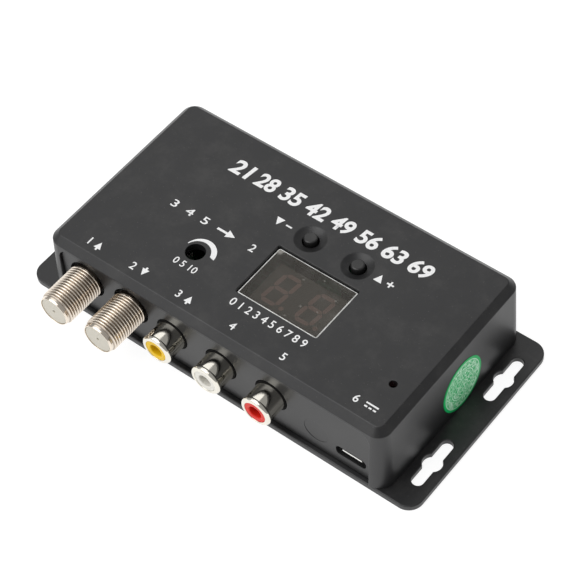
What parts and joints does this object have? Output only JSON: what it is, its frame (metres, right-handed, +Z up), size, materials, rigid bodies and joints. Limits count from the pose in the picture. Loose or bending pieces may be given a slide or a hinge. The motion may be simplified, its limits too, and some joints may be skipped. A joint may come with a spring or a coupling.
{
  "type": "rf modulator",
  "caption": "Low rectangular RF modulator box on a slotted mounting plate, with threaded aerial sockets and phono sockets in front and a channel display with push buttons on top.",
  "frame": {"origin": "centre of the mounting plate's underside", "axes": "+X along the plate, from the aerial sockets' end to the power socket's end; -Y out of the socket panel; +Z up, out of the top with the display"},
  "size_m": [0.1186, 0.0684, 0.0241],
  "materials": {
    "case_plastic": "finely textured",
    "panel_plastic": "smooth satin",
    "window": "clear with a smoky tint",
    "screw_steel": "zinc plated",
    "board": "solder mask",
    "tinplate": "bright tinned",
    "black_plastic": "moulded",
    "contact": "plated",
    "nylon": "natural",
    "display_face": "dark face",
    "segment": "unlit",
    "trimmer_blue": "moulded",
    "trimmer_white": "moulded",
    "lamp_red": "tinted clear",
    "package": "moulded epoxy",
    "capacitor": "plain can",
    "copper": "enamelled copper",
    "ferrite": "ferrite",
    "sticker_green": "printed film",
    "nickel": "nickel plated",
    "bright_nickel": "bright nickel plated",
    "cream_insulator": "moulded",
    "yellow_insulator": "moulded",
    "white_insulator": "moulded",
    "red_insulator": "moulded",
    "stem_plastic": "moulded",
    "dome": "stainless"
  },
  "bodies": {
    "case": {"base_plate": "case_plastic", "case_cover": "case_plastic", "front_panel": "panel_plastic", "display_window": "window", "case_screws": "screw_steel", "main_board": "board", "board_screws": "screw_steel", "shield_frame": "tinplate", "shield_lid": "tinplate", "f_barrel_in": "nickel", "f_insulator_in": "cream_insulator", "f_contact_in": "contact", "f_barrel_out": "nickel", "f_insulator_out": "cream_insulator", "f_contact_out": "contact", "rca_housing_video": "black_plastic", "rca_shell_video": "bright_nickel", "rca_insulator_video": "yellow_insulator", "rca_contact_video": "contact", "rca_housing_left": "black_plastic", "rca_shell_left": "bright_nickel", "rca_insulator_left": "white_insulator", "rca_contact_left": "contact", "rca_housing_right": "black_plastic", "rca_shell_right": "bright_nickel", "rca_insulator_right": "red_insulator", "rca_contact_right": "contact", "usb_shell": "tinplate", "usb_tongue": "black_plastic", "display_board": "board", "board_spacers": "nylon", "spacer_screws": "screw_steel", "spacer_nuts": "screw_steel", "header_block": "black_plastic", "header_pins": "contact", "display_module": "display_face", "display_segments": "segment", "switch_body_down": "black_plastic", "switch_plate_down": "tinplate", "snap_dome_down": "dome", "switch_body_up": "black_plastic", "switch_plate_up": "tinplate", "snap_dome_up": "dome", "trimmer_body": "trimmer_blue", "pilot_led": "lamp_red", "led_leads": "tinplate", "modulator_ic": "package", "controller_ic": "package", "regulator": "package", "crystal": "tinplate", "filter_capacitors": "capacitor", "rf_coils": "copper", "choke": "ferrite", "chip_parts": "package", "inspection_sticker": "sticker_green"},
    "button_down": {"switch_stem_down": "stem_plastic"},
    "button_up": {"switch_stem_up": "stem_plastic"},
    "adjuster": {"trimmer_rotor": "trimmer_white"}
  },
  "joints": [
    {"name": "button_down_press", "type": "slide", "parent": "case", "child": "button_down", "axis": [0, 0, -1], "range_m": [0, 0.0003], "stiffness_N_per_m": 4000, "springref_m": -0.0001},
    {"name": "button_up_press", "type": "slide", "parent": "case", "child": "button_up", "axis": [0, 0, -1], "range_m": [0, 0.0003], "stiffness_N_per_m": 4000, "springref_m": -0.0001},
    {"name": "adjuster_turn", "type": "hinge", "parent": "case", "child": "adjuster", "pos_m": [-0.0173, -0.01085, 0.01], "axis": [0, 0, 1], "range_deg": [-135, 135]}
  ]
}
